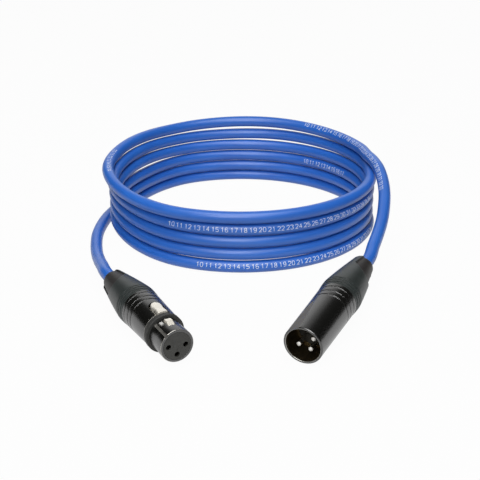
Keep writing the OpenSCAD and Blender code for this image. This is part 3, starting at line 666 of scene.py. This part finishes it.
def boot_radius(z):
    """Outside radius of the boot without its rings and recesses."""
    if z < BOOT_WIDE:
        return BOOT_R - FRONT_FALL * ((BOOT_WIDE - z) / (BOOT_WIDE - BOOT_START)) ** 2
    return BOOT_R - TAPER * ((z - BOOT_WIDE) / (BOOT_END - BOOT_WIDE)) ** TAPER_POWER


def thumb_recess(r, z, a):
    """Lowers the outside by the depth of the recess, inside its outline."""
    if r < 4.9:  # the bore
        return r
    x, y = abs(r * math.sin(a)), abs(r * math.cos(a))
    inside = RECESS_R - math.hypot(x, min(z - RECESS_MIDDLE, 0))
    return r - RECESS_DEPTH * smoothstep(min(inside, y - RIDGE) / STEP_WIDTH + STEP_SHIFT)


print("boot radius at the rear:", round(boot_radius(BOOT_END), 2), "mm")

# %% [markdown]
# Both boots come from the same mould, so one outline is spun twice. The stations on its long
# side are close together, because the edge of the recess needs them.

# %% Boots
outline = [(boot_radius(BOOT_START), BOOT_START), (boot_radius(40), 40)]
outline += grooved(boot_radius, (40.7, 42.6, 44.5))
outline += [(boot_radius(z), z) for z in (46, 48, 51, 55, 58, *np.arange(58.5, 74.6, 0.3))]
outline += [(5.9, 74.9), (5.6, 75.3), (5.2, BOOT_END)]
outline += [(4.2, BOOT_END), (3.6, 71), (3.5, 67), (3.5, 52.1)]  # the flared bore
outline += [(7.1, 52.1), (7.1, 41.7), (8.8, 41.7), (8.8, BOOT_START)]  # room for the bushing
outline = stations(rounded(outline, 0.1), 0.8)
boots = {}
for sex, place in (("female", FEMALE_BOOT), ("male", MALE_BOOT)):
    points, faces = spun(outline, place, 256, thumb_recess)
    boot = piece(sex + "_boot_moulded", points, faces, sex + "_boot_nut", sharp=50)
    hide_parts(sex + "_boot")
    boots[sex] = boot
    print(boot.name, len(boot.data.polygons), "faces")

# %% [markdown]
# ## Latch tab
# The latch is a cast and plated lever. What shows most is its push tab, which stands in the
# window and has a round rear end. The tab is curved like the shell round it. A grid of points
# follows its outline, row by row, and the last columns and rows bend down, so its edge is round.
# A sculpted box could look the same, but a formula keeps both sides alike.

# %% Latch tab
TAB_START, TAB_WAIST, TAB_END, TAB_R = 15.6, 19.1, 25.4, 2.5
TAB_FRONT, TAB_SLIM = 2.3, 2  # half its width in front and at the waist
TAB_TOP, TAB_UNDER, COLUMNS = 9.79, 8.2, 24
SIDE_ROUND, END_ROUND, END_FALL = 0.3, 0.25, 0.6


def tab_half(z):
    """Half the tab's width at a distance from the mating face."""
    if z < TAB_WAIST:
        share = smoothstep((z - TAB_START) / (TAB_WAIST - TAB_START))
        return TAB_FRONT - (TAB_FRONT - TAB_SLIM) * share
    if z < TAB_END - TAB_R:
        share = smoothstep((z - TAB_WAIST) / (TAB_END - TAB_R - TAB_WAIST))
        return TAB_SLIM + (TAB_R - TAB_SLIM) * share
    return math.sqrt(max(TAB_R ** 2 - (z - TAB_END + TAB_R) ** 2, 0.02))


def tab_row(z):
    """The top of the tab from side to side, and its underside back again."""
    half = tab_half(z)
    end = max(END_ROUND - (z - TAB_START), 0, END_ROUND - (TAB_END - z))
    row = []
    for t in np.linspace(-1, 1, COLUMNS):
        x = half * math.sin(t * math.pi / 2)
        near = max(SIDE_ROUND - (half - abs(x)), 0)
        drop = SIDE_ROUND - math.sqrt(max(SIDE_ROUND ** 2 - near ** 2, 0))
        drop += END_FALL * end ** 2 / END_ROUND
        row.append((x, math.sqrt((TAB_TOP - drop) ** 2 - x * x), z))
    return row + [(x, math.sqrt(TAB_UNDER ** 2 - x * x), z) for x, _, _ in reversed(row)]


rows = [[0, 0.04, 0.12], np.linspace(0.25, 9, 48), np.linspace(9.1, 9.8, 12)]
rows = TAB_START + np.concatenate(rows)
points = [FEMALE @ Vector(p) for z in rows for p in tab_row(z)]
n = 2 * COLUMNS
faces = [(i * n + k, i * n + (k + 1) % n, (i + 1) * n + (k + 1) % n, (i + 1) * n + k)
         for i in range(len(rows) - 1) for k in range(n)]
faces += [tuple(range(n)), tuple(range(len(points) - n, len(points)))]
print("latch tab:", len(faces), "faces")

# %% [markdown]
# ## Latch lever
# Under the tab a flat lever runs from the hinge to the tooth. The tooth locks the two connectors
# together, and its sloped front lets them slide in without a push on the tab. Each part is a bar
# across the connector with its own side view, and all of them overlap, as in one casting.

# %% Latch lever
def across(profile, half):
    """A bar across the connector, with a side view of y and z."""
    n = len(profile)
    return ([FEMALE @ Vector((x, y, z)) for x in (-half, half) for y, z in profile],
            [tuple(range(n)), tuple(range(n, 2 * n))]
            + [(i, (i + 1) % n, n + (i + 1) % n, n + i) for i in range(n)])


HINGE_Y, HINGE_Z, HINGE_R = 4.6, 31, 1.5
hinge = [(HINGE_Y + HINGE_R * math.sin(a), HINGE_Z + HINGE_R * math.cos(a))
         for a in np.linspace(0, 2 * math.pi, 32, endpoint=False)]
tooth = [(4.1, 5.8), (7.2, 5.8), (8.2, 8.3), (8.3, 8.7), (8.3, 10.7), (8.1, 10.9), (4.1, 10.9)]
stem = [(5.1, 16.6), (8.5, 16.6), (8.5, 22.4), (5.1, 22.4)]
for profile, half in (
    ([(4, 5.8), (5.2, 5.8), (5.2, 20), (4, 20)], 1.5),  # the narrow front of the lever
    ([(4, 19.4), (5.2, 19.4), (5.2, HINGE_Z), (4, HINGE_Z)], 2.5),  # its wide rear
    (tooth, 1.5), (stem, 1.5), (hinge, 2.5),
):
    add_to(points, faces, across(profile, half))
latch = piece("latch_cast", points, faces, "latch", sharp=32)
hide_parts("latch_lever")
print("latch:", len(latch.data.polygons), "faces")

# %% [markdown]
# ## Latch spring
# A small coil spring stands in a pocket of the insert and lifts the latch. It is a thin tube along
# a helix, with five turns of spring wire. Where the latch tips down by four degrees, the spring
# gets about a fifth shorter; here it is made at one length. The Screw modifier could wind it as
# well, but the tube function of the cable does it with the same few numbers.

# %% Latch spring
SPRING_Z, SPRING_FOOT, SPRING_TOP, SPRING_R, WIRE_R = 17, -1.35, 3.75, 0.95, 0.2
SPRING_TURNS, SPRING_POINTS, WIRE_SIDES = 5, 161, 8
t = np.linspace(0, 1, SPRING_POINTS)
turn = t * SPRING_TURNS * 2 * math.pi
radial = np.stack([np.cos(turn), 0 * t, np.sin(turn)], axis=1)
height = SPRING_FOOT + (SPRING_TOP - SPRING_FOOT) * t
rise = np.stack([0 * t, height, SPRING_Z + 0 * t], axis=1)
upright = np.array([(0, 1, 0)] * SPRING_POINTS)
points, faces = tube(rise + SPRING_R * radial, radial, upright, WIRE_R, WIRE_SIDES)
spring = piece("latch_spring_wound", [FEMALE @ Vector(p) for p in points], faces, "cable")
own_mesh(spring)
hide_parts("latch_spring")
print("latch spring:", len(faces), "faces")

# %% [markdown]
# ## Contact numbers
# Inserts carry a small moulded 1, 2 or 3 beside each contact. The same strokes as on the cable
# are laid flat on the insert's face and stand proud of it by less than a tenth of a millimetre.
# The face is seen from the front, looking along z, so x runs the other way.

# %% Contact numbers
CONTACT_ANGLES = (90, -90, 180)
NUMBER_R, NUMBER_H, NUMBER_STROKE = 2.0, 1.1, 0.16
PROUD, SINK = 0.06, 0.05


def on_face(place, x0, y0, z):
    """A function that lays flat print on an insert's face at distance z."""
    return lambda x, y, h: place @ Vector((x0 - x, y0 + y, z - PROUD * h + SINK * (1 - h)))


numbers = []
for sex, place, z in (("female", FEMALE, 0), ("male", MALE, 12.55)):
    points, faces = [], []
    for number, angle in enumerate(CONTACT_ANGLES, 1):
        a = math.radians(angle)
        x = -0.9 * NUMBER_R * math.sin(a) + DIGIT_W / 2 * NUMBER_H
        y = NUMBER_R * math.cos(a) - NUMBER_H / 2
        lay = on_face(place, x, y, z)
        add_to(points, faces, write(str(number), NUMBER_H, NUMBER_STROKE, 0, lay))
    numbers.append(piece(sex + "_contact_numbers", points, faces, "cable"))
print("contact numbers on", len(numbers), "inserts")

# %% [markdown]
# ## Colours and shader nodes
# Colours are written as sRGB hex values, as in any paint program, and Cycles works with linear
# light, so one function converts them. A second one adds a shader node, sets its sockets and
# links it.

# %% Colour and node helpers
def linear(code):
    """An sRGB hex colour as linear RGBA."""
    values = [int(code[i:i + 2], 16) / 255 for i in (1, 3, 5)]
    return [v / 12.92 if v <= 0.04045 else ((v + 0.055) / 1.055) ** 2.4 for v in values] + [1]


def add(tree, kind, settings=None, **sockets):
    """A node with its settings and sockets; a socket's value may be another node's output."""
    node = tree.nodes.new("ShaderNode" + kind)
    for name, value in (settings or {}).items():
        setattr(node, name, value)
    for name, value in sockets.items():
        key = int(name[1:]) if name[1:].isdigit() else name.replace("_", " ")
        if isinstance(value, bpy.types.NodeSocket):
            tree.links.new(value, node.inputs[key])
        else:
            node.inputs[key].default_value = value
    return node


print("mid grey #808080 is", round(linear("#808080")[0], 3), "in linear light")

# %% [markdown]
# ## A surface that isn't perfectly even
# No real surface has one flat colour. Every finish here drifts slowly between two close colours,
# and a fine bump breaks up its reflections. Both are noise in the object's own space, so their
# scale is one over a size in metres. Only these sizes, the colours and a few shader values differ,
# so one function makes all finishes. A second one paints whole pieces, and a third one only those
# faces that pass a test, as for the bare casting in the male mouth, or for a painted highlight,
# reflection or darker patch.

# %% Surface helpers
BUMP_HEIGHT = 0.05 * MM


def surface(name, base, dark, drift, grain, depth, **sockets):
    """A finish: two colours, drift and grain in mm, the bump's strength and shader sockets."""
    made = bpy.data.materials.new(name)
    made.use_nodes = True
    tree, shader = made.node_tree, made.node_tree.nodes["Principled BSDF"]
    place = add(tree, "TexCoord").outputs["Object"]
    cloud = add(tree, "TexNoise", Vector=place, Scale=1 / (drift * MM), Detail=3.0)
    ramp = add(tree, "ValToRGB", Fac=cloud.outputs["Fac"])
    for stop, position, code in zip(ramp.color_ramp.elements, (0.35, 0.65), (dark, base)):
        stop.position, stop.color = position, linear(code)
    grains = add(tree, "TexNoise", Vector=place, Scale=1 / (grain * MM), Detail=2.0)
    bump = add(tree, "Bump", Height=grains.outputs["Fac"], Strength=depth, Distance=BUMP_HEIGHT)
    tree.links.new(ramp.outputs["Color"], shader.inputs["Base Color"])
    tree.links.new(bump.outputs["Normal"], shader.inputs["Normal"])
    for socket, value in sockets.items():
        shader.inputs[socket.replace("_", " ")].default_value = value
    print("finish:", name)
    return made


def paint(made, *targets):
    """Gives the finish to pieces and CAD nodes."""
    for target in targets:
        obj = nodes[target] if isinstance(target, str) else target
        obj.data.materials.clear()
        obj.data.materials.append(made)


def accent(obj, made, place, test):
    """Gives a second finish to the faces whose radius and distance along the axis pass a test."""
    obj.data.materials.append(made)
    to_axis = place.inverted() @ obj.matrix_world
    for face in obj.data.polygons:
        middle = to_axis @ face.center
        if test(math.hypot(middle.x, middle.y), middle.z):
            face.material_index = len(obj.data.materials) - 1


# %% [markdown]
# ## Soft PVC jacket and its ink
# Microphone cable has an extruded jacket of soft PVC, matt from a fine grain that the tool
# leaves. The eye sees an even colour with a broad dull shine. The grain is about 0.1 mm, too
# fine to show here, so it is drawn at 0.5 mm, and a slow mottling of a few centimetres stands
# for handling. The ink is rolled or sprayed on while the cable runs past. It is thin and dull,
# and the jacket shows through a little, so it is a bluish white.

# %% Cable jacket and ink
jacket = surface("soft_pvc_blue", "#2A6CCB", "#2565C4", 25, 0.5, 0.25,
                 Roughness=0.4, Specular_IOR_Level=0.75)
paint(jacket, cable)
ink = surface("white_printing_ink", "#E0E7F5", "#CBD5E8", 1.5, 0.3, 0.1, Roughness=0.6)
paint(ink, scale_print)

# %% [markdown]
# ## Black chrome shells
# The shells are cast, turned and plated with black chrome. Seen straight on it mirrors about a
# tenth of the light and looks black, and at a flat angle it mirrors much more, as lacquer does.
# That is a shader without metal but with a high IOR. Fine turning marks run round the shell, too
# fine to show one by one, so only a soft grain is drawn.

# %% Black chrome
plating = surface("satin_black_plating", "#0B0B09", "#080806", 6, 0.25, 0.03,
                  Roughness=0.27, IOR=2.0)
paint(plating, female_shell, male_shell)

# %% [markdown]
# The long flat is milled. It faces the pale wall behind the object and mirrors it, and that
# reflection is painted: the flat gets a dull grey that shows as a grey arch in the black shell.

# %% Painted reflection on the milled flat
flat_painted_reflection = surface("milled_flat_painted_reflection", "#65625D", "#5E5B56", 6, 0.25, 0.08,
                    Roughness=0.5, IOR=1.4)
# the flat's grey is a painted reflection of the wall behind
accent(male_shell, flat_painted_reflection, MALE,
       lambda r, z: 0.3 < z < FLAT_LEN and 8.4 < r < male_r(z) - 0.02)

# %% [markdown]
# Plating hardly reaches into a deep bore, so the wall inside the male mouth stays the colour of
# the bare casting. The alloy tarnishes there to a dark warm brown with a soft metal shine.

# %% Bare casting in the mouth
bare = surface("brown_bare_casting", "#6B5F48", "#5C5240", 3, 0.3, 0.15,
               Metallic=1, Roughness=0.4)
accent(male_shell, bare, MALE, lambda r, z: r < 8.3 and z < 12.2)

# %% [markdown]
# The collar is painted one even matt dark grey without a stripe. That grey is a painted reflection:
# the collar is as black as the shell, and the grey stands in for the way its faces mirror the room.

# %% Collar's painted grey
matt = surface("collar_painted_reflection_grey", "#343432", "#2E2E2C", 3, 0.3, 0.25, Roughness=0.6)
# the collar's grey is a painted reflection; it is as black as the shell
paint(matt, collar)

# %% [markdown]
# Sharp edges catch the light as fine pale lines, and these highlights are painted on with a pale,
# partly metal finish: at the rims of barrel and mouth, behind the collar, and in the key groove and
# the small window. A part of it is left diffuse, so the painted line stays bright from any side.

# %% Painted edge highlights
edge_highlight = surface("painted_edge_highlight", "#A8A6A0", "#989690", 3, 0.3, 0.05, Metallic=0.7, Roughness=0.3)


def female_edge(r, z):
    """Painted highlight on the barrel's cut walls and rim and on the body's front edge."""
    cut_wall = 6.8 < r < 7.5 and 0.4 < z < 12.4
    rim, shoulder = r > 7.6 and z < 0.24, r > 8.66 and 15.6 < z < 15.85
    return cut_wall or rim or shoulder


# painted highlights on the collar's rear edge, the male mouth's rim and the female shell's edges
accent(collar, edge_highlight, FEMALE, lambda r, z: r > 9 and z > 14.87)
accent(male_shell, edge_highlight, MALE, lambda r, z: 8.1 < r < 8.4 and z < 0.3)
accent(female_shell, edge_highlight, FEMALE, female_edge)

# %% [markdown]
# ## Glass-filled nylon
# Inserts and bushings are moulded in glass-filled nylon. The short fibres near the surface give
# it a dull, slightly cloudy skin, so the black looks dark grey.

# %% Nylon
nylon = surface("glass_filled_nylon", "#3D3D3A", "#353532", 2.5, 0.3, 0.35, Roughness=0.55)
paint(nylon, "female_insert", "male_insert", "female_bushing", "male_bushing", *numbers)

# %% [markdown]
# ## Boot rubber
# The boots are a moulded thermoplastic rubber, dull and a little greenish grey. The thumb recesses
# are painted darker and browner.

# %% Rubber
rubber = surface("boot_rubber", "#2C3231", "#272C2B", 5, 0.35, 0.3, Roughness=0.42)
recess_rubber = surface("darker_recess_rubber", "#262322", "#201D1C", 5, 0.35, 0.15,
                        Roughness=0.5)
for boot, place in ((boots["female"], FEMALE_BOOT), (boots["male"], MALE_BOOT)):
    paint(rubber, boot)
    # the thumb recesses are painted darker and browner
    accent(boot, recess_rubber, place,
           lambda r, z: 58 < z < 75 and 5.2 < r < boot_radius(z) - STEP_WIDTH)

# %% [markdown]
# ## Plastics inside
# The clamps that hold the cable are moulded in white acetal, which is waxy and slightly warm.
# The conductors have an extruded insulation of red PVC. Clamps show only where a boot is slid
# back.

# %% Acetal and core insulation
acetal = surface("white_acetal", "#E6E3DA", "#DEDACF", 4, 0.4, 0.1, Roughness=0.4)
paint(acetal, "female_chuck", "male_chuck")
core = surface("core_insulation", "#B03A30", "#A53329", 3, 0.4, 0.1, Roughness=0.45)
paint(core, "female_conductors", "male_conductors")

# %% [markdown]
# ## Bright metals
# The pins are turned brass with a silver plate, the whitest metal there is. The sockets have the
# same plate, but they sit deep in their holes, where shade falls, and that shade is painted in as a
# darker grey. The latch is cast, blasted and nickel plated: satin and slightly warm. Springs and
# ground contacts are stamped or wound from bare stainless steel. A pure metal mirrors only the
# room, and the room is mostly dark, so the two satin ones keep a large diffuse part, which stands
# for their rough grain.

# %% Bright metals
for name, base, dark, rough, metallic, targets in (
    ("silver_plate", "#F2EFE8", "#E6E2DA", 0.2, 1.0,
     ["contact_pin_1", "contact_pin_2", "contact_pin_3"]),
    # the sockets are painted a darker grey, as shade deep in their holes
    ("socket_painted_shade_silver", "#8F8A80", "#7F7A70", 0.3, 1.0,
     ["socket_contact_1", "socket_contact_2", "socket_contact_3"]),
    ("satin_nickel", "#F3EFE4", "#E9E4D8", 0.36, 0.4, [latch]),
    ("spring_steel", "#F4F3F0", "#E8E7E4", 0.25, 0.4,
     ["latch_pin", spring, "female_ground_contact", "male_ground_contact"]),
):
    paint(surface(name, base, dark, 2, 0.2, 0.08, Metallic=metallic, Roughness=rough), *targets)

# %% [markdown]
# The tips of the pins are rounded and catch the light as white dots, and that highlight is painted:
# the tips get a near-white finish with a large diffuse part, so they look white from any side. Each
# pin starts at its own distance, so its tip is measured from its mesh.

# %% Pin tips and their painted highlight
TIP_LEN = 0.7
# painted highlight: the pin tips get a near-white, mostly diffuse finish
tip_highlight = surface("pin_tip_painted_highlight", "#FBF9F4", "#F0EDE6", 2, 0.2, 0.05,
                  Metallic=0.3, Roughness=0.4)
for number in (1, 2, 3):
    pin = nodes[f"contact_pin_{number}"]
    tip = min((MALE.inverted() @ pin.matrix_world @ v.co).z for v in pin.data.vertices)
    accent(pin, tip_highlight, MALE, lambda r, z: z < tip + TIP_LEN)
    print(pin.name, "tip at", round(tip, 2), "mm")

# %% [markdown]
# ## Table
# Small products stand on a white sweep, a plain white plane. For the camera and in reflections
# it is nearly all glow of one even white, which is how a brightly lit sweep looks. The small
# rest is lit by the lamps, so it takes a faint soft shadow of the object.

# %% Table
TABLE_HALF, TABLE_DROP, GLOW_SHARE = 3, 0.0002, 0.965  # metres, metres, share of the even white
corners = [(-TABLE_HALF, -TABLE_HALF, 0), (TABLE_HALF, -TABLE_HALF, 0),
           (TABLE_HALF, TABLE_HALF, 0), (-TABLE_HALF, TABLE_HALF, 0)]
table = bpy.data.meshes.new("table")
table.from_pydata(corners, [], [(0, 1, 2, 3)])
floor = bpy.data.objects.new("table", table)
bpy.context.scene.collection.objects.link(floor)
floor.location.z = -TABLE_DROP
floor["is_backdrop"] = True

sweep = bpy.data.materials.new("white_sweep")
sweep.use_nodes = True
tree, shader = sweep.node_tree, sweep.node_tree.nodes["Principled BSDF"]
shader.inputs["Base Color"].default_value = linear("#BCBCBC")
shader.inputs["Roughness"].default_value = 0.9
shader.inputs["Specular IOR Level"].default_value = 0
rays = add(tree, "LightPath").outputs
seen = add(tree, "Math", {"operation": "MAXIMUM"}, _0=rays["Is Camera Ray"],
           _1=rays["Is Glossy Ray"])
glow = add(tree, "Emission", Color=linear("#FFFFFF"), Strength=1.0)
share = add(tree, "Math", {"operation": "MULTIPLY"}, _0=seen.outputs[0], _1=GLOW_SHARE)
mix = add(tree, "MixShader", _0=share.outputs[0], _1=shader.outputs[0], _2=glow.outputs[0])
tree.links.new(mix.outputs[0], tree.nodes["Material Output"].inputs["Surface"])
floor.data.materials.append(sweep)
print("table:", 2 * TABLE_HALF, "m wide")

# %% [markdown]
# ## Room
# Behind the object stands a white wall, and to its sides the room is dark. Black polished shells
# show just that: one broad pale stripe, a black stripe and then the white table. The wall fades
# out 16 to 33 degrees to the side and 38 to 48 degrees up. The angle to the side is found from y
# over the level part of the direction, √(1 - z²). The camera itself sees plain white. A picture
# of a studio would do the same, but a few nodes let each edge be placed.

# %% Room
WALL_SIDES = 0.84, 0.96  # cosines of 33 and 16 degrees away from straight behind
WALL_TOP = 0.74, 0.62  # sines of 48 and 38 degrees above the horizon
SOFT = {"interpolation_type": "SMOOTHSTEP"}
world = bpy.data.worlds.new("studio")
bpy.context.scene.world = world
world.use_nodes = True
tree = world.node_tree
tree.nodes.clear()
direction = add(tree, "SeparateXYZ", Vector=add(tree, "TexCoord").outputs["Generated"]).outputs
minus_z = add(tree, "Math", {"operation": "MULTIPLY"}, _0=direction["Z"], _1=-1.0)
level = add(tree, "Math", {"operation": "MULTIPLY_ADD"}, _0=direction["Z"],
            _1=minus_z.outputs[0], _2=1.0)
level = add(tree, "Math", {"operation": "SQRT"}, _0=level.outputs[0])
behind = add(tree, "Math", {"operation": "DIVIDE"}, _0=direction["Y"], _1=level.outputs[0])
sides = add(tree, "MapRange", SOFT, Value=behind.outputs[0], _1=WALL_SIDES[0], _2=WALL_SIDES[1])
top = add(tree, "MapRange", SOFT, Value=direction["Z"], _1=WALL_TOP[0], _2=WALL_TOP[1])
wall = add(tree, "Math", {"operation": "MULTIPLY"}, _0=sides.outputs["Result"],
           _1=top.outputs["Result"])
room = add(tree, "MixRGB", Fac=wall.outputs[0], Color1=linear("#262626"), Color2=linear("#FFFFFF"))
rays = add(tree, "LightPath").outputs
white = add(tree, "Background", Color=linear("#FFFFFF"), Strength=1.0)
around = add(tree, "Background", Color=room.outputs["Color"], Strength=1.0)
mix = add(tree, "MixShader", _0=rays["Is Camera Ray"], _1=around.outputs[0], _2=white.outputs[0])
add(tree, "OutputWorld", Surface=mix.outputs[0])
print("room nodes:", len(tree.nodes))

# %% [markdown]
# ## Lamps
# Two large square lamps of equal strength do the lighting. One hangs over the object and lights
# its upper sides, and one stands far in front and fills the shadows between the strands. Large
# lamps give soft shadows and broad highlights. The upper one hangs a little forward, so that the
# shells don't mirror it.

# %% Lamps
WATTS = 8.6


def lamp(name, spot, aim, size, watts):
    """A square area light that looks from its spot to its aim."""
    light = bpy.data.lights.new(name, "AREA")
    light.shape, light.size, light.energy = "SQUARE", size, watts
    obj = bpy.data.objects.new(name, light)
    obj.location = spot
    obj.rotation_mode = "QUATERNION"
    obj.rotation_quaternion = (Vector(aim) - Vector(spot)).to_track_quat("-Z", "Y")
    bpy.context.scene.collection.objects.link(obj)
    print(name, size, "m wide,", watts, "W")


lamp("overhead_softbox", (0, -0.35, 1), (0, -0.12, 0), 0.8, WATTS)
lamp("front_fill", (-0.15, -1.15, 0.8), (0, -0.05, 0), 0.6, WATTS)
bpy.context.scene.view_settings.view_transform = "Standard"

# %% [markdown]
# ## Sizes at the end
# The dressed model's box is printed, to set beside the CAD box printed at the start.
# The dressed model has to stay as large as the CAD model.

# %% Sizes
scene_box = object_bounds()
print("scene box (mm):", [in_mm(p) for p in scene_box])
